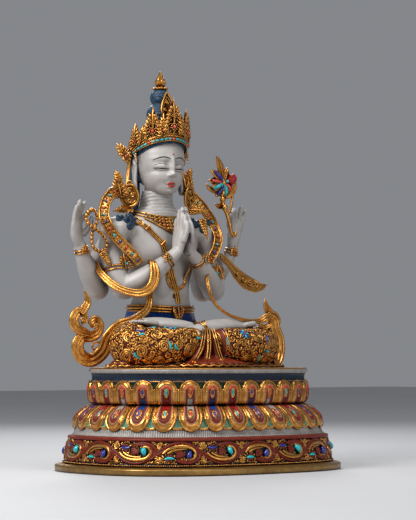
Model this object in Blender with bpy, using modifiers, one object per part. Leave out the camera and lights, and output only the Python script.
"""Four-armed Avalokiteshvara seated on a double lotus pedestal.

Metres, +Z up, the figure faces -Y. The origin is the centre of the pedestal's underside.
Run it with: blender --background --python part.py
"""

import math

import bmesh
import bpy
from mathutils import Matrix, Vector

MM = 0.001

# Pedestal: an oval of superellipse plan whose mouldings are set in evenly all round,
# by shares of its own depth.
PLINTH_WIDTH = 404 * MM
PLINTH_DEPTH = 316 * MM
PLINTH_PARTS = 316.0
PLAN_POWER = 2.6
FOOT_HEIGHT = 10 * MM
BEAD_RAIL_HEIGHT = 4.5 * MM
SCROLL_BAND_HEIGHT = 34 * MM
FILLET_HEIGHT = 2.5 * MM
SKIRT_HEIGHT = 7 * MM
LOWER_LOTUS_HEIGHT = 33.5 * MM
UPPER_LOTUS_HEIGHT = 33.5 * MM
NECK_BAND_HEIGHT = 9.5 * MM
RIM_HEIGHT = 7.5 * MM
PETAL_COUNT = 28
PETAL_RELIEF = 3.2 * MM
PETAL_TIP = 4.5 * MM
COLUMNS_PER_PETAL = 3

# Figure: one casting, drawn in shares of its own height.
FIGURE_HEIGHT = 424 * MM
FIGURE_PARTS = 424.0
FIGURE_OFF_CENTRE = -14 * MM
FIGURE_SET_BACK = 72 * MM
HEAD_TURN = -7
SEAT_CLEARANCE = 0.4 * MM
FIT_CLEARANCE = 0.5 * MM

# Loose ornaments, which keep their share of the figure.
SCARF_THICKNESS = 2.6 * FIGURE_HEIGHT / FIGURE_PARTS
MALA_BEAD = 4.9 * FIGURE_HEIGHT / FIGURE_PARTS
MALA_CORD = 2.2 * FIGURE_HEIGHT / FIGURE_PARTS
STEM_THICKNESS = 4.0 * FIGURE_HEIGHT / FIGURE_PARTS

COLOURS = {
    "silver": (0.52, 0.50, 0.48, 0.55, 0.38),
    "gold": (0.80, 0.46, 0.10, 1.0, 0.32),
    "lotus": (0.72, 0.38, 0.08, 1.0, 0.38),
}


def clear_scene():
    for obj in list(bpy.data.objects):
        bpy.data.objects.remove(obj, do_unlink=True)


def material(name):
    red, green, blue, metallic, roughness = COLOURS[name]
    made = bpy.data.materials.new(name)
    made.use_nodes = True
    shader = made.node_tree.nodes["Principled BSDF"]
    shader.inputs["Base Color"].default_value = (red, green, blue, 1)
    shader.inputs["Metallic"].default_value = metallic
    shader.inputs["Roughness"].default_value = roughness
    return made


def place(bm, name, finish, collection):
    """Turns a bmesh into a named object with its finish."""
    bmesh.ops.recalc_face_normals(bm, faces=bm.faces)
    for face in bm.faces:
        face.smooth = True
    mesh = bpy.data.meshes.new(name)
    bm.to_mesh(mesh)
    bm.free()
    obj = bpy.data.objects.new(name, mesh)
    collection.objects.link(obj)
    mesh.materials.append(finish)
    return obj


def weld_to_one(obj, voxel, smoothing, ratio):
    """Fuses overlapping closed forms into one skin, softens it and thins its triangles."""
    remesh = obj.modifiers.new("one_casting", "REMESH")
    remesh.mode = "VOXEL"
    remesh.voxel_size = voxel
    remesh.use_smooth_shade = True
    soften = obj.modifiers.new("soften", "SMOOTH")
    soften.factor = 0.5
    soften.iterations = smoothing
    thin = obj.modifiers.new("thin", "DECIMATE")
    thin.ratio = ratio


# Smooth paths and the tubes, straps and balls that follow them.
def spline(keys, steps):
    """Catmull-Rom through rows of numbers, steps stations for each span."""
    rows = [Vector(k) for k in keys]
    padded = [2 * rows[0] - rows[1]] + rows + [2 * rows[-1] - rows[-2]]
    out = []
    for i in range(1, len(padded) - 2):
        a, b, c, d = padded[i - 1 : i + 3]
        for step in range(steps):
            t = step / steps
            out.append(
                0.5 * (2 * b + (c - a) * t + (2 * a - 5 * b + 4 * c - d) * t * t
                       + (3 * b - a - 3 * c + d) * t * t * t)
            )
    out.append(rows[-1])
    return out


def ring(bm, centre, across, deep, segments):
    made = bmesh.ops.create_circle(bm, segments=segments, radius=1.0)
    for vert in made["verts"]:
        vert.co = centre + across * vert.co.x + deep * vert.co.y
    return made["verts"]


def bridge(bm, first, second):
    edges = set()
    for loop in (first, second):
        inside = set(loop)
        edges |= {e for v in loop for e in v.link_edges if e.other_vert(v) in inside}
    bmesh.ops.bridge_loops(bm, edges=list(edges))


def loft(bm, rings):
    """A closed skin over rings of (centre, across, deep, segments)."""
    loops = [ring(bm, *r) for r in rings]
    for first, second in zip(loops, loops[1:]):
        bridge(bm, first, second)
    for loop in (loops[0], loops[-1]):
        bm.faces.new(loop)


def limb(bm, keys, side=(1, 0, 0), steps=3, segments=12):
    """A rounded limb through keys of (x, y, z, half width, half depth)."""
    stations = spline(keys, steps)
    centres = [Vector(s[:3]) for s in stations]
    rings = []
    for i, station in enumerate(stations):
        ahead = centres[min(i + 1, len(centres) - 1)] - centres[max(i - 1, 0)]
        ahead.normalize()
        across = Vector(side) - Vector(side).dot(ahead) * ahead
        across.normalize()
        deep = ahead.cross(across)
        rings.append([centres[i], across * station[3], deep * station[4], segments, ahead])
    ends = []
    for index, sign in ((0, -1), (-1, 1)):
        centre, across, deep, count, ahead = rings[index]
        reach = 0.5 * (across.length + deep.length)
        for share, shrink in ((0.55, 0.84), (0.9, 0.44)):
            ends.append((index, [centre + sign * ahead * reach * share,
                                 across * shrink, deep * shrink, count, ahead]))
    for index, extra in ends:
        rings.insert(0 if index == 0 else len(rings), extra)
    loft(bm, [r[:4] for r in rings])


def ball(bm, centre, radii, turn=(0, 0, 0), segments=14):
    matrix = Matrix.Translation(centre)
    for angle, axis in zip(turn, "XYZ"):
        matrix = matrix @ Matrix.Rotation(math.radians(angle), 4, axis)
    matrix = matrix @ Matrix.Diagonal((*radii, 1))
    bmesh.ops.create_uvsphere(
        bm, u_segments=segments, v_segments=max(6, segments // 2), radius=1.0, matrix=matrix
    )


def strap(bm, keys, thickness, steps=4):
    """A flat ribbon through keys of (x, y, z, half width, face x, face y, face z)."""
    rings = []
    stations = spline(keys, steps)
    centres = [Vector(s[:3]) for s in stations]
    for i, station in enumerate(stations):
        ahead = centres[min(i + 1, len(centres) - 1)] - centres[max(i - 1, 0)]
        ahead.normalize()
        face = Vector(station[4:7])
        across = ahead.cross(face)
        across.normalize()
        face = across.cross(ahead)
        edge = across * station[3]
        lift = face * thickness / 2
        rings.append([centres[i] + a * edge + b * lift for a, b in ((-1, -1), (1, -1), (1, 1), (-1, 1))])
    loops = [[bm.verts.new(co) for co in corners] for corners in rings]
    for first, second in zip(loops, loops[1:]):
        for k in range(4):
            bm.faces.new((first[k], first[(k + 1) % 4], second[(k + 1) % 4], second[k]))
    bm.faces.new(loops[0])
    bm.faces.new(loops[-1])


# The pedestal.
def plan_point(angle, half_width, half_depth):
    cosine, sine = math.cos(angle), math.sin(angle)
    return Vector((
        half_width * math.copysign(abs(cosine) ** (2 / PLAN_POWER), cosine),
        half_depth * math.copysign(abs(sine) ** (2 / PLAN_POWER), sine),
    ))


def even_angles(count, half_width, half_depth):
    """Angles that share the plan's edge into equal lengths, the first at the front."""
    fine = 4000
    start = -math.pi / 2
    angles = [start + 2 * math.pi * i / fine for i in range(fine + 1)]
    points = [plan_point(a, half_width, half_depth) for a in angles]
    lengths = [0.0]
    for a, b in zip(points, points[1:]):
        lengths.append(lengths[-1] + (b - a).length)
    out, k = [], 0
    for i in range(count):
        wanted = lengths[-1] * i / count
        while lengths[k + 1] < wanted:
            k += 1
        share = (wanted - lengths[k]) / (lengths[k + 1] - lengths[k])
        out.append(angles[k] + share * (angles[k + 1] - angles[k]))
    return out


def plinth_levels():
    """The moulding from the ground up: (height, set in, petal relief share, tip rise)."""
    foot = FOOT_HEIGHT
    band = foot + BEAD_RAIL_HEIGHT
    fillet = band + SCROLL_BAND_HEIGHT
    skirt = fillet + FILLET_HEIGHT
    tips = skirt + SKIRT_HEIGHT
    waist = tips + LOWER_LOTUS_HEIGHT
    crown = waist + UPPER_LOTUS_HEIGHT
    rim = crown + NECK_BAND_HEIGHT
    top = rim + RIM_HEIGHT
    lower, upper = LOWER_LOTUS_HEIGHT, UPPER_LOTUS_HEIGHT
    part = PLINTH_DEPTH / PLINTH_PARTS
    return [
        (0, 2 * part, 0, 0),
        (0.15 * foot, 0, 0, 0),
        (0.85 * foot, 0, 0, 0),
        (foot, 6.5 * part, 0, 0),
        (band, 12 * part, 0, 0),
        (fillet, 19.7 * part, 0, 0),
        (skirt, 22.5 * part, 0, 0),
        (tips, 28 * part, 0, 1),
        (tips, 24 * part, 1, 1),
        (tips + 0.30 * lower, 22.5 * part, 1, 0),
        (tips + 0.63 * lower, 28.5 * part, 1, 0),
        (tips + 0.88 * lower, 41 * part, 0.7, 0),
        (waist, 51 * part, 0.2, 0),
        (waist + 0.13 * upper, 46 * part, 0.6, 0),
        (waist + 0.43 * upper, 43 * part, 1, 0),
        (waist + 0.75 * upper, 43 * part, 1, 0),
        (crown, 44 * part, 1, -1),
        (crown, 47.5 * part, 0, -1),
        (rim, 47 * part, 0, 0),
        (rim + 0.1 * RIM_HEIGHT, 45.4 * part, 0, 0),
        (top, 45.4 * part, 0, 0),
    ]


def plinth_top():
    return plinth_levels()[-1][0]


def lotus_pedestal(finish, collection):
    """Foot moulding, scroll band, pearl skirt, two rows of petals and the seat rim, cast in one."""
    half_width, half_depth = PLINTH_WIDTH / 2, PLINTH_DEPTH / 2
    set_in = 50 * PLINTH_DEPTH / PLINTH_PARTS
    count = PETAL_COUNT * COLUMNS_PER_PETAL
    half_columns = even_angles(2 * count, half_width - set_in, half_depth - set_in)
    # Half a petal's turn puts the middle of a petal at the front.
    angles = [half_columns[2 * k - COLUMNS_PER_PETAL] for k in range(count)]
    bm = bmesh.new()
    loops = []
    for height, inset, relief, tip in plinth_levels():
        loop = []
        for k, angle in enumerate(angles):
            swell = math.sin(math.pi * (k % COLUMNS_PER_PETAL) / COLUMNS_PER_PETAL) ** 0.6
            out = relief * PETAL_RELIEF * (swell - 1)
            flat = plan_point(angle, half_width - inset + out, half_depth - inset + out)
            rise = tip * PETAL_TIP * (1 - swell)
            loop.append(bm.verts.new((flat.x, flat.y, height + rise)))
        loops.append(loop)
    for first, second in zip(loops, loops[1:]):
        for k in range(count):
            n = (k + 1) % count
            bm.faces.new((first[k], first[n], second[n], second[k]))
    bm.faces.new(loops[0])
    bm.faces.new(loops[-1])
    return place(bm, "lotus_pedestal", finish, collection)


# The figure, in parts of its height: x to its left, y backwards, z up from the seat.
def seat(bm):
    """Moves a form from the figure's own parts to its place on the pedestal."""
    part = FIGURE_HEIGHT / FIGURE_PARTS
    move = Matrix.Translation((FIGURE_OFF_CENTRE, FIGURE_SET_BACK, plinth_top() + SEAT_CLEARANCE))
    bmesh.ops.transform(bm, matrix=move @ Matrix.Scale(part, 4), verts=bm.verts)


def legs(bm):
    for side in (-1, 1):
        limb(bm, [(22 * side, 8, 32, 32, 30), (68 * side, -34, 31, 32, 30),
                  (112 * side, -78, 29, 27, 28)], side=(0, 0, 1))
        limb(bm, [(119 * side, -88, 27, 27, 27), (80 * side, -102, 27, 26, 25),
                  (34 * side, -105, 29, 24, 22), (8 * side, -100, 33, 17, 14)], side=(0, 0, 1))
    # Each foot lies sole up on the other thigh, the right one over the left.
    limb(bm, [(-18, -100, 44, 13, 12), (20, -95, 55, 15, 9), (60, -84, 59, 16, 8),
              (100, -72, 59, 14, 5)], side=(0, 1, 0.3))
    limb(bm, [(20, -84, 40, 12, 11), (-20, -80, 55, 14, 9), (-52, -68, 60, 15, 8),
              (-84, -54, 60, 13, 5)], side=(0, 1, 0.3))


def seat_cloth(bm):
    """The garment's hem spreads under the legs and in a fan before them."""
    ball(bm, (8, -78, 1), (152, 60, 5), segments=40)
    ball(bm, (-4, -126, 3), (56, 26, 9), segments=20)


def torso(bm):
    limb(bm, [(0, 2, 24, 60, 36), (0, 2, 52, 56, 37), (0, 0, 80, 50, 36), (0, 0, 100, 43.5, 33),
              (0, 0, 124, 47, 33), (0, 1, 156, 60, 36), (0, 5, 186, 66, 33),
              (0, 8, 206, 47, 25), (-1, 9, 220, 27, 22), (-1, 9, 246, 21.5, 21)], segments=24)
    for side in (-1, 1):
        ball(bm, (70 * side, 5, 194), (25, 21, 19))
        ball(bm, (28 * side, -15, 171), (28, 17, 17))
        # A lock of hair curls over each shoulder.
        ball(bm, (66 * side, -6, 208), (15, 11, 11), turn=(0, 25 * side, 0))
    # The belt and its pendant.
    limb(bm, [(0, 0, 79, 52, 38.5), (0, 0, 88, 49.5, 37)], segments=24)
    ball(bm, (0, -38, 76), (11, 4, 14))


def turn_head(bm, verts=None):
    """The head looks a little to its right, with all that it wears."""
    pivot = Matrix.Translation((0, 6, 0))
    turn = pivot @ Matrix.Rotation(math.radians(HEAD_TURN), 4, "Z") @ pivot.inverted()
    bmesh.ops.transform(bm, matrix=turn, verts=verts or bm.verts)


def head(bm):
    before = set(bm.verts)
    ball(bm, (0, 3, 296), (35.5, 40, 45), segments=20)
    ball(bm, (0, -9, 267), (27.5, 26, 24), segments=16)
    limb(bm, [(0, -35, 294, 3, 3), (0, -38, 278, 5, 3.5)])
    # The hair is gathered into a topknot of two balls with a jewel on it.
    ball(bm, (0, 5, 312), (37.5, 40, 33), segments=20)
    limb(bm, [(0, 2, 334, 19, 19), (0, 1, 345, 14, 14)])
    ball(bm, (0, 1, 360.5), (19, 19, 18.5), segments=20)
    ball(bm, (0, 1, 385), (14, 14, 13.5), segments=16)
    limb(bm, [(0, 1, 396, 9, 9), (0, 1, 399, 6, 6)])
    ball(bm, (0, 1, 408), (8, 6, 8.5))
    limb(bm, [(0, 1, 412, 5, 4), (0, 1, 423, 1.4, 1.4)])
    for side in (-1, 1):
        limb(bm, [(35 * side, 7, 298, 5, 9), (38 * side, 8, 288, 4.5, 8), (38 * side, 7, 268, 4, 4.5),
                  (38 * side, 6, 254, 4, 5.5)])
    turn_head(bm, [v for v in bm.verts if v not in before])


def praying_arms(bm):
    for side in (-1, 1):
        limb(bm, [(76 * side, 5, 194, 20, 21), (86 * side, 0, 165, 18, 18),
                  (86 * side, -12, 128, 16.5, 17), (81 * side, -20, 110, 16, 16)])
        limb(bm, [(81 * side, -20, 109, 16, 16), (54 * side, -40, 126, 15.5, 15),
                  (28 * side, -52, 148, 10.5, 11), (11 * side - 2, -56, 160, 8.5, 9.5)])
        limb(bm, [(11 * side - 2, -56, 160, 7, 9.5), (8 * side - 2, -55, 176, 7, 14),
                  (5.5 * side - 2, -54, 194, 6, 13), (3 * side - 2, -54, 214, 4.5, 10),
                  (2 * side - 2, -54, 226, 3, 5)])
        limb(bm, [(8 * side - 2, -66, 176, 4, 4), (4 * side - 2, -69, 192, 4, 4),
                  (3 * side - 2, -68, 202, 3, 3)])
        # Bracelet and the armlet's leaf.
        ball(bm, (27 * side - 1, -62, 153), (11, 6, 11), turn=(0, -40 * side, 0))
        ball(bm, (85 * side, -20, 146), (13, 8, 16))


def raised_arms(bm):
    for side in (-1, 1):
        limb(bm, [(64 * side, 14, 190, 18, 18), (84 * side, 24, 156, 17, 17),
                  (93 * side, 24, 122, 17, 17), (94 * side, 22, 110, 16, 16)])
        limb(bm, [(94 * side, 22, 109, 16, 16), (112 * side, 16, 132, 15.5, 15.5),
                  (129 * side, 9, 156, 11, 11), (136 * side, 6, 172, 8, 9)])
        ball(bm, (135 * side, 2, 166), (13, 11, 8), turn=(0, 25 * side, 0))
        limb(bm, [(137 * side, 5, 174, 8, 7), (140 * side, 4, 188, 14, 7), (141 * side, 2, 204, 14, 6.5)])
        for spread, reach in ((-9, 26), (-3, 32), (3, 33), (9, 24)):
            x = 141 + spread
            limb(bm, [(x * side, 2, 202, 3.6, 4.2), ((x + 0.3 * spread) * side, 0, 218, 3.2, 3.5),
                      ((x + 0.4 * spread) * side, -6, 202 + reach, 2.6, 2.8)], segments=8)
        limb(bm, [(130 * side, -2, 186, 4.5, 4.5), (124 * side, -9, 200, 4, 4),
                  (122 * side, -13, 214, 3, 3)], segments=8)


def cast_figure(finish, collection):
    """Body, four arms, crossed legs and garment, one hollow casting drawn as its outer form."""
    bm = bmesh.new()
    for form in (legs, seat_cloth, torso, head, praying_arms, raised_arms):
        form(bm)
    seat(bm)
    figure = place(bm, "seated_figure", finish, collection)
    part = FIGURE_HEIGHT / FIGURE_PARTS
    weld_to_one(figure, 1.8 * part, 4, 0.0131)
    return figure


# What touches the casting is trimmed to a small clearance from it.
def islands(bm):
    """The mesh's separate bodies, as lists of corners."""
    left, found = set(bm.verts), []
    while left:
        body, edge = [], [left.pop()]
        while edge:
            vert = edge.pop()
            body.append(vert)
            near = {e.other_vert(vert) for e in vert.link_edges} & left
            left -= near
            edge += near
        found.append(body)
    return found


def settle(obj, floor=None):
    """Replaces modifiers by their result, cut flat at the floor, less the specks this leaves."""
    graph = bpy.context.evaluated_depsgraph_get()
    mesh = bpy.data.meshes.new_from_object(obj.evaluated_get(graph))
    bm = bmesh.new()
    bm.from_mesh(mesh)
    if floor is not None:
        geometry = list(bm.verts) + list(bm.edges) + list(bm.faces)
        cut = bmesh.ops.bisect_plane(
            bm, geom=geometry, plane_co=(0, 0, floor), plane_no=(0, 0, 1), clear_inner=True
        )
        rim = [e for e in cut["geom_cut"] if isinstance(e, bmesh.types.BMEdge)]
        bmesh.ops.contextual_create(bm, geom=rim)
    bodies = sorted(islands(bm), key=len)
    specks = [vert for body in bodies[:-1] for vert in body]
    bmesh.ops.delete(bm, geom=specks, context="VERTS")
    bm.to_mesh(mesh)
    bm.free()
    obj.modifiers.clear()
    obj.data = mesh


def clearance_form(obj, collection):
    """A hidden copy of an object, swollen by the fitting clearance, to trim its neighbours."""
    bm = bmesh.new()
    bm.from_mesh(obj.data)
    bm.normal_update()
    for vert in bm.verts:
        vert.co = vert.co + vert.normal * FIT_CLEARANCE
    mesh = bpy.data.meshes.new(obj.name + "_clearance")
    bm.to_mesh(mesh)
    bm.free()
    made = bpy.data.objects.new(mesh.name, mesh)
    made.hide_render = True
    made.display_type = "WIRE"
    collection.objects.link(made)
    return made


def reach(obj):
    """The lowest and highest corners of an object's mesh."""
    corners = [vert.co for vert in obj.data.vertices]
    return [[pick(c[i] for c in corners) for i in range(3)] for pick in (min, max)]


def trim(obj, cutters):
    """Cuts away what reaches into the swollen neighbours, where their boxes meet at all."""
    low, high = reach(obj)
    for cutter in cutters:
        near, far = reach(cutter)
        if any(low[i] > far[i] or high[i] < near[i] for i in range(3)):
            continue
        cut = obj.modifiers.new("trim", "BOOLEAN")
        cut.operation = "DIFFERENCE"
        cut.object = cutter


# The crown and the loose ornaments.
def crown(finish, collection):
    """Five leaves on a band that slopes from the brow to the ears, with a rosette at each end."""
    bm = bmesh.new()
    radius_x, radius_y, slope = 39, 40, 0.42

    def band(degrees, lift=0.0, out=0.0):
        angle = math.radians(degrees)
        x = (radius_x + out) * math.sin(angle)
        y = -(radius_y + out) * math.cos(angle)
        return (x, y + 4, 308 - slope * y + lift)

    arc = [(*band(d), 3.5, 4.5) for d in range(-112, 113, 16)]
    limb(bm, arc, side=(0, 0, 1), steps=1, segments=8)
    for degrees, height, half in ((0, 54, 15), (-42, 44, 13), (42, 44, 13), (-84, 34, 12), (84, 34, 12)):
        angle = math.radians(degrees)
        keys = []
        for share, wide in ((0, 0.9), (0.25, 1.0), (0.5, 0.85), (0.75, 0.5), (1, 0.14)):
            out = 1 + 3 * share
            keys.append((*band(degrees, height * share, out), half * wide, 3.4 - 1.4 * share))
        limb(bm, keys, side=(math.cos(angle), math.sin(angle), 0), steps=2, segments=8)
    for side in (-1, 1):
        ball(bm, (45 * side, 18, 300), (8, 9, 10))
        limb(bm, [(46 * side, 16, 300, 5, 4), (50 * side, 20, 318, 2, 2)])
    # The plaque before the lower ball of the topknot.
    limb(bm, [(0, -30, 340, 8, 3), (0, -20, 362, 9, 3), (0, -19, 380, 7, 3), (0, -19, 392, 1.5, 1.5)])
    turn_head(bm)
    seat(bm)
    made = place(bm, "crown", finish, collection)
    weld_to_one(made, 1.2 * FIGURE_HEIGHT / FIGURE_PARTS, 1, 0.02)
    return made


def earring(side, finish, collection):
    """A teardrop disc at the end of the long ear, with a leaf that lies on the shoulder."""
    bm = bmesh.new()
    ball(bm, (49 * side, 4, 243), (12, 4, 16), turn=(0, 0, 30 * side))
    limb(bm, [(46 * side, 2, 229, 4, 3), (50 * side, 1, 225, 8, 3), (66 * side, -2, 222, 3, 2)],
         side=(0, 0, 1))
    turn_head(bm)
    seat(bm)
    made = place(bm, "earring_" + ("right" if side < 0 else "left"), finish, collection)
    weld_to_one(made, 1.0 * FIGURE_HEIGHT / FIGURE_PARTS, 1, 0.022)
    return made


def shoulder_scarf(side, finish, collection):
    """The jewelled scarf that falls from behind the ear, over the shoulder, to the armlet."""
    spread = 1.0 if side < 0 else 0.88
    face = (-0.45, -0.85, 0.25) if side < 0 else (-0.1, -0.97, 0.2)
    path = [(60, 12, 264, 5), (76, 10, 259, 7), (93, 6, 245, 7.5), (107, 0, 225, 7.5), (110, -11, 200, 7.5),
            (99, -22, 180, 7.5), (82, -31, 165, 7), (64, -33, 148, 6)]
    bm = bmesh.new()
    strap(bm, [(x * spread * side, y, z, half, *face) for x, y, z, half in path],
          SCARF_THICKNESS * FIGURE_PARTS / FIGURE_HEIGHT, steps=3)
    ball(bm, (60 * side * spread, 12, 267), (10, 7, 12))
    limb(bm, [(62 * side * spread, 12, 274, 5, 4), (66 * side * spread, 12, 289, 1.2, 1.2)])
    seat(bm)
    made = place(bm, "shoulder_scarf_" + ("right" if side < 0 else "left"), finish, collection)
    weld_to_one(made, 1.0 * FIGURE_HEIGHT / FIGURE_PARTS, 1, 0.012)
    return made


def scarf_tail_right(finish, collection):
    """From the bent elbow over the forearm and down behind the right knee into a standing scroll."""
    bm = bmesh.new()
    thick = 1.5 * SCARF_THICKNESS * FIGURE_PARTS / FIGURE_HEIGHT
    out, front, top, back = (-0.8, -0.6, 0), (-0.3, -0.9, 0.2), (0.2, -0.3, 0.9), (0.5, 0.8, 0.3)
    view = (-0.4, -0.9, 0)
    strap(bm, [(-108, 8, 146, 5, *out), (-110, -14, 128, 5, *out), (-100, -38, 108, 5, *front),
               (-80, -54, 102, 5, *front), (-64, -61, 110, 5.5, *front), (-56, -61, 127, 6, *front),
               (-51, -48, 147, 6, *top), (-44, -33, 141, 5, *back), (-41, -26, 122, 4, *back),
               (-45, -34, 100, 4, *back)], thick, steps=3)
    strap(bm, [(-44, -34, 104, 5, *view), (-56, -42, 78, 6, *view), (-84, -38, 66, 6.5, *view),
               (-108, -32, 56, 7, *view), (-124, -26, 26, 8, *view), (-136, -22, 10, 8, *view),
               (-152, -19, 12, 7.5, *view), (-160, -18, 28, 7, *view), (-150, -18, 41, 6.5, *view),
               (-132, -18, 40, 6.5, *view), (-121, -18, 49, 6.5, *view), (-128, -18, 61, 6.5, *view),
               (-139, -18, 53, 5.5, *view), (-152, -18, 49, 5.5, *view), (-160, -18, 59, 5.5, *view),
               (-152, -18, 68, 5.5, *view), (-147, -18, 77, 4.5, *view), (-145, -18, 92, 1, *view)],
          1.5 * thick, steps=3)
    seat(bm)
    made = place(bm, "scarf_tail_right", finish, collection)
    weld_to_one(made, 1.1 * FIGURE_HEIGHT / FIGURE_PARTS, 1, 0.013)
    return made


def scarf_tail_left(finish, collection):
    """A cord from the left armlet to the thigh, and a scroll that stands on the left knee."""
    bm = bmesh.new()
    thick = 1.5 * SCARF_THICKNESS * FIGURE_PARTS / FIGURE_HEIGHT
    view = (-0.4, -0.9, 0)
    strap(bm, [(44, -52, 140, 2.5, *view), (36, -62, 116, 2.5, *view), (40, -72, 92, 2.5, *view),
               (58, -80, 74, 2.5, *view), (88, -88, 65, 3, *view), (112, -90, 64, 5, *view),
               (122, -90, 72, 6, *view), (136, -90, 64, 6, *view), (150, -92, 56, 6.5, *view),
               (160, -95, 38, 6.5, *view), (160, -98, 20, 6.5, *view), (148, -104, 6, 5, *view)],
          thick, steps=3)
    strap(bm, [(140, -90, 60, 5, *view), (152, -88, 68, 6, *view), (142, -88, 76, 6, *view),
               (136, -88, 86, 4.5, *view), (134, -88, 98, 1, *view)], thick, steps=3)
    seat(bm)
    made = place(bm, "scarf_tail_left", finish, collection)
    weld_to_one(made, 1.1 * FIGURE_HEIGHT / FIGURE_PARTS, 1, 0.018)
    return made


def scarf_flutter(finish, collection):
    """The scarf's loose end, blown outwards from the left armlet."""
    bm = bmesh.new()
    thick = SCARF_THICKNESS * FIGURE_PARTS / FIGURE_HEIGHT
    face = (-0.35, -0.8, 0.45)
    strap(bm, [(90, -30, 156, 5, *face), (102, -28, 149, 6, *face), (126, -24, 138, 7, *face),
               (146, -25, 124, 10, *face), (164, -26, 117, 8, *face), (180, -27, 118, 1, *face)],
          thick, steps=3)
    seat(bm)
    made = place(bm, "scarf_flutter", finish, collection)
    weld_to_one(made, 1.0 * FIGURE_HEIGHT / FIGURE_PARTS, 1, 0.02)
    return made


def mala(finish, collection):
    """A string of beads looped in a figure of eight over the raised right hand."""
    bm = bmesh.new()
    part = FIGURE_HEIGHT / FIGURE_PARTS
    route = [(-124, -12, 216), (-131, -13, 205), (-124, -13, 195), (-116, -13, 187), (-109, -13, 176),
             (-110, -13, 164), (-118, -13, 166), (-120, -13, 178), (-117, -13, 190), (-110, -13, 200),
             (-113, -13, 211), (-119, -12, 218)]
    stations = spline(route + route[:1], 8)
    limb(bm, [(*s, MALA_CORD / part / 2, MALA_CORD / part / 2) for s in stations[::2]],
         side=(0, 1, 0), steps=1, segments=6)
    travelled, due = 0.0, 0.0
    bead = MALA_BEAD / part
    for a, b in zip(stations, stations[1:]):
        travelled += (b - a).length
        if travelled >= due:
            ball(bm, b, (bead / 2, bead / 2, bead / 2), segments=8)
            due += 1.08 * bead
    limb(bm, [(-110, -13, 164, 2, 2), (-108, -15, 156, 3, 3)])
    ball(bm, (-107, -16, 150), (5, 3, 7), turn=(0, 25, 0))
    seat(bm)
    made = place(bm, "mala", finish, collection)
    weld_to_one(made, 0.8 * part, 0, 0.05)
    return made


def lotus_flower(finish, collection):
    """An open lotus with its bud and leaves on a stem held between the left fingers."""
    bm = bmesh.new()
    part = FIGURE_HEIGHT / FIGURE_PARTS
    stem = STEM_THICKNESS / part / 2
    limb(bm, [(141, -14, 199, stem, stem), (135, -14, 197, stem, stem), (129, -14, 212, stem, stem),
              (122, -13, 228, stem, stem), (117, -10, 244, stem, stem), (116, -8, 262, stem, stem)],
         side=(0, 1, 0), segments=8)
    ball(bm, (117, -8, 270), (8, 8, 11))
    ball(bm, (130, -14, 277), (6, 6, 7))
    for angle, reach in ((90, 38), (125, 34), (150, 30), (60, 30), (195, 26), (25, 26), (-20, 18)):
        x, z = math.cos(math.radians(angle)), math.sin(math.radians(angle))
        limb(bm, [(117 + 4 * x, -8, 270 + 4 * z, 3, 3), (117 + 0.55 * reach * x, -11, 270 + 0.55 * reach * z, 5, 2.6),
                  (117 + reach * x, -9, 270 + reach * z, 1, 1)], side=(z, 0, -x), segments=8)
    limb(bm, [(116, -9, 248, 2, 2), (104, -10, 256, 3, 2.4), (92, -10, 258, 4, 2.4), (85, -10, 266, 1, 1)],
         side=(0, 0, 1), segments=8)
    seat(bm)
    made = place(bm, "lotus_flower", finish, collection)
    weld_to_one(made, 0.9 * part, 1, 0.022)
    return made


def main():
    clear_scene()
    parts = bpy.data.collections.new("avalokiteshvara_statue")
    guides = bpy.data.collections.new("clearances")
    for collection in (parts, guides):
        bpy.context.scene.collection.children.link(collection)
    silver, gold, lotus = material("silver"), material("gold"), material("lotus")
    lotus_pedestal(lotus, parts)
    figure = cast_figure(silver, parts)
    settle(figure, plinth_top() + SEAT_CLEARANCE)
    around_figure = clearance_form(figure, guides)
    ornaments = [crown(gold, parts)]
    for side in (-1, 1):
        ornaments += [shoulder_scarf(side, gold, parts), earring(side, gold, parts)]
    ornaments += [scarf_tail_right(gold, parts), scarf_tail_left(gold, parts), scarf_flutter(gold, parts)]
    ornaments += [mala(gold, parts), lotus_flower(gold, parts)]
    around = [around_figure]
    for ornament in ornaments:
        trim(ornament, around)
        settle(ornament)
        around.append(clearance_form(ornament, guides))


main()
